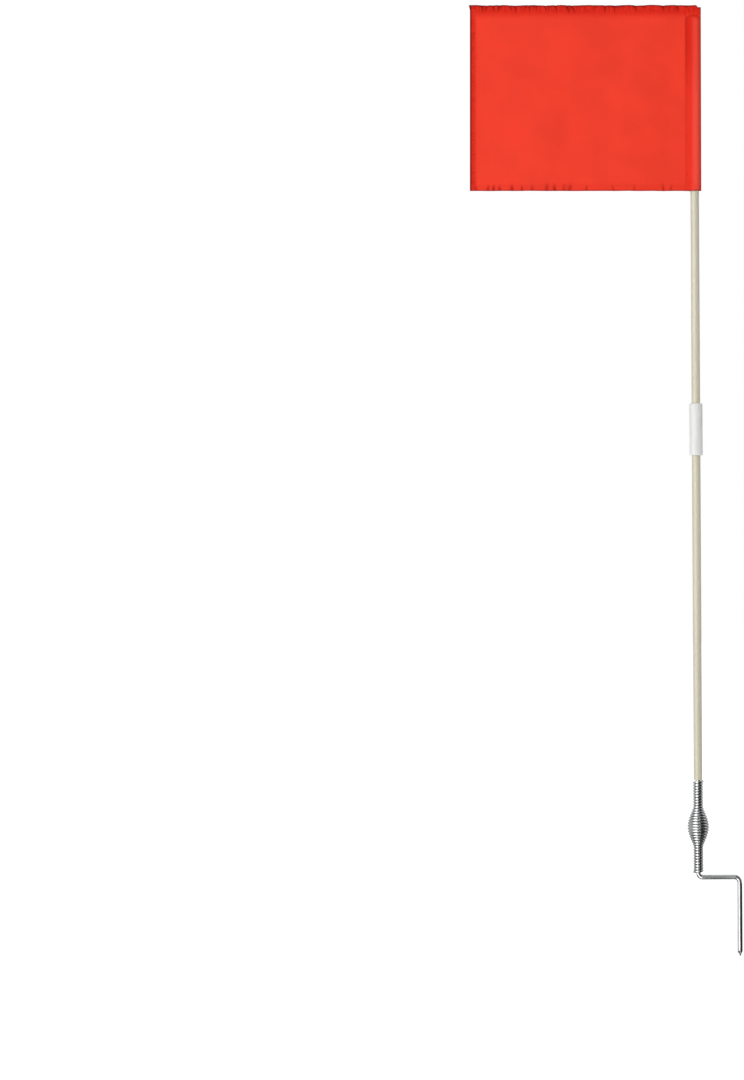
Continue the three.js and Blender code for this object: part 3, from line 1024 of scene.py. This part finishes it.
        past, out, hem_y = self.folded(-across, radius)
        hem_x = fly + radius - out + past

        sleeve, turn = across - self.panel, self.half_sleeve
        past, out, fold_y = self.folded(sleeve - turn, radius)
        fold_x = self.sleeve_fold - radius + out
        front_x, front_y = self.round_pole(np.clip(sleeve / turn, 0, 1), height, radius)
        back_x, back_y = self.round_pole(np.clip(1 - past / turn, 0, 1), height, radius)
        behind_seam = np.maximum(past - turn, 0)

        stretches = [across < 0, sleeve < 0, sleeve < turn, sleeve < turn + self.fold]
        x = np.select(stretches, [hem_x, panel_x, front_x, fold_x], back_x - behind_seam)
        y = np.select(stretches, [hem_y, panel_y, -front_y, fold_y], depth + back_y)
        return x, y

    def folded(self, along, radius):
        """How far the cloth is past a fold that starts where along is 0, and how far it stands out
        of the fold's axis and behind its front."""
        angle = np.clip(along / self.fold, 0, 1) * math.pi
        past = np.maximum(along - self.fold, 0)
        return past, radius * np.sin(angle), radius - radius * np.cos(angle)

    def round_pole(self, share, height, edge):
        """Half of the sleeve's section, from the seam over the pole to the fold: x, and distance
        from the flag's plane. Over the cap it closes like the end of a sack."""
        hemmed = fall(height, self.sizes.foot_hem, self.sleeve_step)
        radius = self.sleeve_radius + self.gap * hemmed
        seam, fold = self.seam_at, self.sleeve_fold - edge
        first = np.sqrt(seam ** 2 - radius ** 2)
        last = np.sqrt(fold ** 2 - radius ** 2)
        first_turn, last_turn = np.arccos(radius / seam), np.arccos(radius / fold)
        arc = radius * (math.pi - first_turn - last_turn)
        along = share * (first + arc + last)
        angle = math.pi - first_turn - np.clip(along - first, 0, arc) / radius
        x, y = radius * np.cos(angle), radius * np.sin(angle)
        rising = np.clip(along / first, 0, 1)
        falling = np.clip((along - first - arc) / last, 0, 1)
        x = np.where(rising < 1, -seam + rising * (x + seam), x + falling * (fold - x))
        y = y * rising * (1 - falling)
        y = y + self.slack_depth * ridge(x - self.slack_at, self.slack_width) * (1 - falling)
        close = np.clip((height - self.cap_top + self.cap_shoulder)
                        / (self.cap_shoulder + self.closing), 0, 1)
        return x, y * np.sqrt(1 - close ** 2)

    # Creases

    def draw_creases(self):
        """Places the creases that the stitching draws into the hems. All numbers are seeded."""
        chance = random.Random(41)
        fly, middle = self.fly, self.fly / 2

        def top_gap(x):
            return chance.uniform(*(self.close_gaps if x < middle else self.wide_gaps))

        def fly_gap(_):
            return chance.uniform(*self.fly_gaps)

        from_fly, from_pole, from_foot, from_top = 0.006, 0.019, 0.014, 0.022
        self.top_creases = self.row_of_creases(
            chance, fly + from_fly, -from_pole, top_gap, self.top_crease)
        self.top_creases += [
            self.crease(chance, fly + place, self.top_pleat) for place in self.top_pleats]
        self.foot_creases = [
            self.crease(chance, fly + place,
                        self.foot_pleat if fly + place < middle else self.narrow_foot_pleat)
            for place in self.foot_pleats]
        self.fly_creases = self.row_of_creases(
            chance, from_foot, self.height - from_top, fly_gap, self.fly_crease)
        self.waves = [(chance.uniform(0.4, 1.0), chance.uniform(28, 90), chance.uniform(-16, 16),
                       chance.uniform(0, 2 * math.pi)) for _ in range(9)]
        self.edge_waves = [(chance.uniform(0.3, 1.0), chance.uniform(70, 210),
                            chance.uniform(0, 2 * math.pi)) for _ in range(7)]

    def crease(self, chance, at, kind):
        """One crease: its place, depth, reach from the edge, width and lean."""
        depth, reach, width, lean = kind
        return (at, chance.uniform(*depth), chance.uniform(*reach), chance.uniform(*width),
                chance.uniform(-lean, lean))

    def row_of_creases(self, chance, start, end_at, gap, kind):
        creases = []
        at = start
        while at < end_at:
            creases.append(self.crease(chance, at, kind))
            at += gap(at)
        return creases

    def hem_creases(self, x, height):
        """The creases of the top, foot and fly hems, each with where a point lies along that hem's
        edge and how far from it."""
        return ((self.top_creases, x, np.maximum(self.height - height, 0)),
                (self.foot_creases, x, np.maximum(height, 0)),
                (self.fly_creases, height, np.maximum(x - self.fly, 0)))

    def crease_field(self, creases, at, from_edge):
        """How far creases press the cloth back. They run in from an edge and fade out."""
        total = np.zeros_like(at)
        for place, depth, reach, width, lean in creases:
            off = np.abs(at - place - lean * from_edge)
            sharp = ridge(off, width, power=1) * fall(from_edge, 0, reach)
            soft = ridge(off, self.soft_width * width) * fall(from_edge, 0, self.soft_reach * reach)
            total += depth * (self.sharp_share * sharp + (1 - self.sharp_share) * soft)
        return total

    def crease_shaded_in(self, creases, at, from_edge):
        """How much painted shade the bottoms of creases get, from 0 to 1."""
        total = np.zeros_like(at)
        for place, depth, reach, width, lean in creases:
            off = at - place - lean * from_edge
            near_edge = fall(from_edge, self.crease_shaded_hold * reach, reach)
            total += ridge(off, self.crease_shaded_width * width) * near_edge * depth / self.full_depth
        return total

    def stand_off(self, x, height):
        """Broad soft folds across the panel, the creases of the hems and the groove of the seam."""
        from_seam = np.maximum(-x - self.seam_at, 0)
        lean = self.broad_lean * height / self.height
        broad = self.broad_depth * np.sin(2 * math.pi * (from_seam + lean) / self.broad_width)
        soft = sum(size * np.sin(across * x + up * height + start)
                   for size, across, up, start in self.waves) * self.wave_depth
        creases = sum(self.crease_field(*row) for row in self.hem_creases(x, height))
        upper = rise(height, self.groove_from, self.groove_run)
        groove = (self.groove_depth * ridge(x + self.seam_at + self.groove_at, self.groove_width)
                  * mixed(self.groove_low_share, 1, upper))
        return (rise(from_seam, 0, self.freed) * (broad + soft)
                + rise(from_seam, 0, self.crease_free) * creases + groove)

    def edge_line(self, x, height):
        """How far the top and bottom edges wander, and the dropped corner over the sleeve."""
        near_top = rise(height, self.height - self.near_top, self.near_top)
        near_foot = fall(height, 0, self.near_foot)
        wander = sum(size * np.sin(across * x + start) for size, across, start in self.edge_waves)
        drawn = self.crease_field(self.top_creases, x, np.zeros_like(x))
        drop = self.corner_drop * rise(x, self.drop_start, self.drop_run)
        top = self.top_lift + self.top_wander * wander - self.crease_pull * drawn - drop
        return near_top * top + near_foot * self.foot_wander * wander

    # What the finish reads

    def keep_flat_places(self, cloth, across, up):
        """Stores the flat cut as the UV map, in metres, so that the weave follows the cloth."""
        corners = np.empty(len(cloth.data.loops), dtype=np.int32)
        cloth.data.loops.foreach_get("vertex_index", corners)
        flat = np.stack([across[corners], up[corners]], axis=1)
        cloth.data.uv_layers.active.data.foreach_set("uv", flat.ravel().astype(np.float32))

    def keep_tones(self, cloth, across, up):
        """Stores the tones: where the cloth lies double; painted shade where it is folded over at the
        edges, at the bottoms of creases, along the seam's groove and in the gathering of the top and
        the fly hem; and painted light on the sleeve, where the pole shows through and its side turns
        from the lamp."""
        height, _ = self.hem_turn(up)
        x, _ = self.section(across, height)
        from_fly = np.maximum(x - self.fly, 0)
        upper = rise(height, *self.upper)
        below_cap = height < self.cap_top
        sewn = height < self.cap_top + self.closing

        top = rise(height - self.top_line, *self.top_double)
        # Where the painted shade of gathering goes in the top hem
        gather_shade = rise(height - self.top_line, *self.top_gather_shade)
        foot = self.foot_tone * fall(height - self.sizes.foot_hem, *self.foot_double)
        fly = fall(from_fly - self.sizes.fly_hem, *self.fly_double)
        seam = (rise(x + self.seam_at, *self.seam_double) * fall(x, *self.sleeve_double)
                * mixed(*self.seam_tones, upper) * sewn)
        layers = np.maximum.reduce([top, foot, fly, seam])

        # Painted shade along the folded edges, paler at the sleeve's fold below its top corner
        corner = rise(height - self.height, *self.sleeve_corner)
        edge = np.maximum.reduce([
            self.edge_shade_tone * ridge(self.height - height, self.top_edge),
            self.edge_shade_tone * ridge(from_fly, self.fly_edge, power=4),
            mixed(self.edge_shade_tone / 2, self.edge_shade_tone, corner)
            * ridge(self.sleeve_fold - x, self.sleeve_edge),
            self.foot_edge_shade_tone * ridge(height, self.foot_edge)])

        # Painted shade at the bottoms of creases, faintly over the seam's doubled strip, and in a
        # line along the seam's groove
        crease_shaded_top, crease_shaded_foot, crease_shaded_fly = (
            self.crease_shaded_in(*row) for row in self.hem_creases(x, height))
        seam_groove_shade = (ridge(x + self.seam_at + self.seam_groove_shade_at, self.seam_groove_shade_width)
                     * mixed(*self.seam_groove_shade_tones, upper) * below_cap)
        creases = (crease_shaded_top + crease_shaded_foot + self.fly_crease_tone * crease_shaded_fly
                   + self.seam_crease_tone * seam * upper + seam_groove_shade)

        # Painted light on the sleeve: the pole showing through and its side lighter where it turns
        # from the lamp, less in the lower half
        backed = (ridge(x - self.sleeve_light_at, self.sleeve_light_width, power=4)
                  * fall(height - self.cap_top, *self.sleeve_light_end)
                  * mixed(*self.sleeve_light_tones, upper))
        for name, values in zip(TONES, (layers, edge, creases, backed, gather_shade, fly)):
            layer = cloth.data.attributes.new(name, "FLOAT", "POINT")
            layer.data.foreach_set("value", np.clip(values, 0, 1).astype(np.float32))

    # Stitching

    def stitching(self):
        """Every stitch along the hems, the sleeve's seam and the line that closes its top, on the
        front and on the layer turned to the back."""
        sizes, inset, start_at = self.sizes, self.line_inset, self.line_start
        last = self.panel - self.line_stop
        top = self.top_line + inset
        foot = sizes.foot_hem - inset
        fly = sizes.fly_hem - inset
        closing = self.cap_top + self.closing
        top_back, foot_back = 2 * self.height + self.fold - top, -self.fold - foot
        turned = self.panel + self.half_sleeve + self.fold
        flap = turned + self.half_sleeve
        lines = [((start_at, height), (last, height)) for height in (top, foot, top_back, foot_back)]
        lines += [((x, foot + start_at), (x, top - start_at)) for x in (fly, -self.fold - fly)]
        lines += [((x, start_at), (x, closing)) for x in (self.panel - inset, flap + inset)]
        lines += [((self.panel, closing), (turned - self.fold - self.line_stop, closing)),
                  ((turned + self.line_stop, closing), (flap, closing))]
        master = self.one_stitch()
        points, faces = [], []
        shape = np.array([vert.co[:] for vert in master.data.vertices])
        ring = [tuple(face.vertices) for face in master.data.polygons]
        for line in lines:
            start, move = np.array(line[0]), np.subtract(line[1], line[0])
            count = int(np.hypot(*move) / (sizes.stitch * self.stitch_step))
            for index in range(count):
                here, there = (start + move * (index + share) / count for share in self.stitch_shares)
                self.lay(shape, ring, here, there, points, faces)
        bpy.data.objects.remove(master)
        mesh = bpy.data.meshes.new("flag_stitching")
        mesh.from_pydata(points, [], faces)
        thread = add_object("flag_stitching", mesh)
        select_only(thread)
        bpy.ops.object.shade_smooth()
        return thread

    def one_stitch(self):
        """A stitch of unit length along X, with pointed ends that sink into the cloth."""
        start_clean()
        bpy.ops.mesh.primitive_uv_sphere_add(segments=6, ring_count=4, radius=0.5)
        stitch = begin("stitch")
        bpy.ops.mesh.select_all(action="SELECT")
        bpy.ops.transform.rotate(value=math.pi / 2, orient_axis="Y", center_override=(0, 0, 0))
        bpy.ops.object.mode_set(mode="OBJECT")
        return stitch

    def lay(self, shape, ring, here, there, points, faces):
        """Lays one stitch on the outer face of the cloth between two places of the flat cut."""
        thread, step = self.thread_width, self.stitch_probe
        middle = (here + there) / 2
        marks = np.array([here, there, middle, middle + (step, 0), middle + (0, step)])
        spots = self.placed(marks[:, 0], marks[:, 1])
        along = spots[1] - spots[0]
        across, up = spots[3] - spots[2], spots[4] - spots[2]
        outward = np.cross(across, up)
        outward /= np.linalg.norm(outward)
        side = np.cross(outward, along)
        side /= np.linalg.norm(side)
        lift = self.sizes.cloth / 2 + thread * self.thread_lift_share
        at = (spots[0] + spots[1]) / 2 + outward * lift
        first = len(points)
        laid = (at + shape[:, :1] * along + shape[:, 1:2] * side * thread
                + shape[:, 2:] * outward * thread)
        points.extend(laid.tolist())
        faces.extend(tuple(first + corner for corner in face) for face in ring)


# Stage


class CORNERFLAG_OT_stage(bpy.types.Operator):
    """Sets the camera, the lamps, the white surroundings, the floor and the cards that the steel
    reflects. Angles round an axis are in degrees from the camera's side, and left is negative."""

    bl_idname = "corner_flag.stage"
    bl_label = "Stage"

    lens = 202.6
    sensor = 36.0
    view_end = 200.0
    camera_place = (-0.6019, -10.0, 0.5618)
    roll = 0.322
    light_level = 0.5
    floor_gap = 0.002
    floor_size = 60.0
    floor_paint = 0.8
    floor_white = 1.2
    shadow_share = 0.3
    shadow_reach = (1.2, 2.6)
    card_distance = 0.85        # of the spring's cards from the pole
    card_top = 2.2
    wall_top = 2.6
    side_card_x = 0.65
    card_layer = 0.0004         # between floor cards that lie over each other

    def execute(self, context):
        start_clean()
        self.camera(context)
        self.surroundings(context)
        self.lamp("key_softbox", azimuth=-27, distance=3.2, height=1.0, size=2.6, watts=70)
        self.lamp("back_softbox", azimuth=180, distance=3.2, height=1.0, size=2.6, watts=60)
        self.lamp("fill_softbox", azimuth=68, distance=3.6, height=1.6, size=1.6, watts=5,
                  mirrored=True)
        self.floor()
        self.spring_cards()
        self.floor_cards()
        self.stake_cards()
        self.crank_cards()
        return {"FINISHED"}

    def spring_cards(self):
        """A bright card left of the camera with paler ones beside it, a dark one at the right, and
        pale walls behind and at the left."""
        low, high, side, wall = PEG_LOW.z, self.card_top, self.side_card_x, self.wall_top
        distance, heights = self.card_distance, (low, high)
        self.wall_card("bright_card", POLE_X, distance, (-62, -23), heights, 3.8, widest=40)
        self.wall_card("half_card", POLE_X, distance, (-23, -9), heights, 0.8)
        self.wall_card("pale_card", POLE_X, distance, (-9, 9), heights, 0.3)
        self.upright_card("side_card", (side, -3.0), (side, -0.15), heights, 0.10)
        self.upright_card("back_card", (-3.0, 1.5), (3.0, 1.5), (low, wall), 0.55)
        self.upright_card("left_card", (-1.8, -0.9), (-1.8, 1.5), (low, wall), 0.75)

    def stake_cards(self):
        """Low walls round the stake, pale at its left, bright before it and dark at its right. The
        lower the stake, the nearer it shows the floor, so the lowest walls stand nearest."""
        low = PEG_LOW.z
        distances, tops, middles = (0.05, 0.14, 0.4), (0.006, 0.017, 0.106), (2.2, 2.2, 0.5)
        for tier, (distance, height, middle) in enumerate(zip(distances, tops, middles)):
            for side, azimuths, level in (("left", (-130, -60), 1.1), ("front", (-60, -7), 2.6),
                                          ("middle", (-7, 4), middle), ("right", (4, 10), 1.5),
                                          ("dark", (10, 160), 0.04)):
                self.wall_card(f"stake_{side}_card_{tier}", 0, distance, azimuths,
                               (low, low + height), level)
        self.floor_card("point_pale_card", 0, (0.002, 0.015), (-110, -5), low, 1.4)
        self.floor_card("point_dark_card", 0, (0.002, 0.015), (0, 110), low, 0.05)

    def floor_cards(self):
        """Bright cards on the floor before the spring, and a dark one at its right."""
        low = PEG_LOW.z
        self.floor_card("far_floor_card", 0, (0.4, self.card_distance), (-54, -20), low, 3.8)
        self.card("front_floor_card", [(-0.065, -0.39, low), (-0.306, -0.257, low),
                                       (-0.153, -0.129, low), (-0.065, -0.188, low)], 3.2)
        self.floor_card("near_floor_card", 0, (0.08, 0.2), (-56, -36), low, 3.2)
        self.floor_card("right_floor_card", 0, (0.2, 0.4), (4, 10), low, 3.0)
        under, side = low - self.card_layer, self.side_card_x
        self.card("side_floor_card", [
            (*self.around(0, 0.03, 12), under), (*self.around(0, 3.0, 12), under),
            (side, -2.5, under), (side, 0.7, under), (0.02, 0.03, under)], 0.03)

    def crank_cards(self):
        """Pale sky above the crank, and grey floor below it and left of it."""
        self.wall_card("crank_sky_card", POLE_X, 0.8, (2, 8.5), (0.52, self.card_top), 0.95)
        under = PEG_LOW.z - 2 * self.card_layer
        self.flat_card("crank_card", (-0.08, 0.0), (-0.9, 0.1), under, 0.2)
        self.flat_card("left_floor_card", (-0.45, -0.081), (-0.15, 0.4), under, 0.3)

    def around(self, axis, distance, azimuth):
        """A place at a distance and an angle from an upright axis."""
        turn = math.radians(azimuth)
        return axis + distance * math.sin(turn), -distance * math.cos(turn)

    def wall_card(self, name, axis, distance, azimuths, heights, level, widest=20):
        """A bent wall that keeps its distance from the axis."""
        first, last = azimuths
        count = math.ceil((last - first) / widest)
        spots = [self.around(axis, distance, first + (last - first) * step / count)
                 for step in range(count + 1)]
        corners = [(*spot, height) for spot in spots for height in heights]
        faces = [(2 * step, 2 * step + 2, 2 * step + 3, 2 * step + 1) for step in range(count)]
        self.card(name, corners, level, faces)

    def floor_card(self, name, axis, distances, azimuths, height, level):
        near, far = distances
        first, last = azimuths
        spots = [(near, first), (near, last), (far, last), (far, first)]
        self.card(name, [(*self.around(axis, *spot), height) for spot in spots], level)

    def upright_card(self, name, start, stop, heights, level):
        low, high = heights
        self.card(name, [(*start, low), (*stop, low), (*stop, high), (*start, high)], level)

    def flat_card(self, name, across, away, height, level):
        (left, right), (near, far) = across, away
        spots = [(left, near), (right, near), (right, far), (left, far)]
        self.card(name, [(*spot, height) for spot in spots], level)

    def camera(self, context):
        data = bpy.data.cameras.new("view")
        data.sensor_width = self.sensor
        data.lens = self.lens
        data.clip_end = self.view_end
        view = add_object("view", data)
        view.location = self.camera_place
        view.rotation_euler = (math.pi / 2, math.radians(self.roll), 0)
        context.scene.camera = view
        context.scene.view_settings.view_transform = "Standard"

    def surroundings(self, context):
        """White for what the camera, metal and glass see, and a plain level of light for the rest."""
        sky = Finish("surroundings", "worlds")
        light, white = (sky.node("ShaderNodeBackground", {"Color": grey(level)})
                        for level in (self.light_level, 1.0))
        chosen = sky.node("ShaderNodeMixShader", {0: sky.seen_directly(), 1: light, 2: white})
        context.scene.world = sky.shows(chosen, "ShaderNodeOutputWorld")

    def lamp(self, name, azimuth, distance, height, size, watts, mirrored=False):
        """A soft lamp beside the pole, which points at the pole."""
        data = bpy.data.lights.new(name, "AREA")
        data.size = size
        data.energy = watts
        lamp = add_object(name, data)
        lamp.location = (*self.around(POLE_X, distance, azimuth), height)
        toward = Vector((POLE_X, 0, height)) - lamp.location
        lamp.rotation_euler = toward.to_track_quat("-Z", "Y").to_euler()
        lamp.visible_camera = False
        lamp.visible_glossy = mirrored

    def floor(self):
        """A white floor under the point of the stake. It keeps the object's shadow."""
        bpy.ops.mesh.primitive_plane_add(
            size=self.floor_size, location=(0, 0, PEG_LOW.z - self.floor_gap))
        floor = bpy.context.object
        floor.name = "floor"
        finish = Finish("white_floor")
        far = finish.ramp(finish.length(finish.place()), *self.shadow_reach)
        share = self.shadow_share
        whitened = finish.seen_directly() * (1 - share + far * share)
        paint = finish.node("ShaderNodeBsdfDiffuse", {"Color": grey(self.floor_paint)})
        white = finish.node("ShaderNodeEmission", {"Color": grey(1.0), "Strength": self.floor_white})
        shader = finish.node("ShaderNodeMixShader", {0: whitened, 1: paint, 2: white})
        floor.data.materials.append(finish.shows(shader))

    def card(self, name, corners, level, faces=None):
        """A card that only reflections show, as a studio sets beside bright metal."""
        mesh = bpy.data.meshes.new(name)
        mesh.from_pydata(corners, [], faces or [range(len(corners))])
        card = add_object(name, mesh)
        finish = Finish(name)
        glow = finish.node("ShaderNodeEmission", {"Color": grey(level)})
        card.data.materials.append(finish.shows(glow))
        for rays in ("camera", "diffuse", "transmission", "shadow"):
            setattr(card, f"visible_{rays}", False)


class CORNERFLAG_PT_pieces(bpy.types.Panel):
    """Sizes, colours and the pieces in their order."""

    bl_label = "Corner Flag"
    bl_idname = "CORNERFLAG_PT_pieces"
    bl_space_type = "VIEW_3D"
    bl_region_type = "UI"
    bl_category = "Corner Flag"

    def draw(self, context):
        settings = context.scene.corner_flag
        for group in (settings.sizes, settings.colours):
            box = self.layout.box()
            for name in group.__annotations__:
                box.prop(group, name)
        for step in STEPS:
            self.layout.operator(step.bl_idname)


STEPS = (
    CORNERFLAG_OT_stage,
    CORNERFLAG_OT_ground_peg,
    CORNERFLAG_OT_barrel_spring,
    CORNERFLAG_OT_spring_stub,
    CORNERFLAG_OT_pole_sections,
    CORNERFLAG_OT_pole_connector,
    CORNERFLAG_OT_pole_cap,
    CORNERFLAG_OT_flag_cloth,
)
CLASSES = (FlagSizes, FlagColours, FlagSettings, *STEPS, CORNERFLAG_PT_pieces)


def register():
    for made in CLASSES:
        bpy.utils.register_class(made)
    bpy.types.Scene.corner_flag = bpy.props.PointerProperty(type=FlagSettings)


def unregister():
    del bpy.types.Scene.corner_flag
    for made in reversed(CLASSES):
        bpy.utils.unregister_class(made)


def main():
    register()
    for step in STEPS:
        group, name = step.bl_idname.split(".")
        getattr(getattr(bpy.ops, group), name)()


if __name__ == "__main__":
    main()
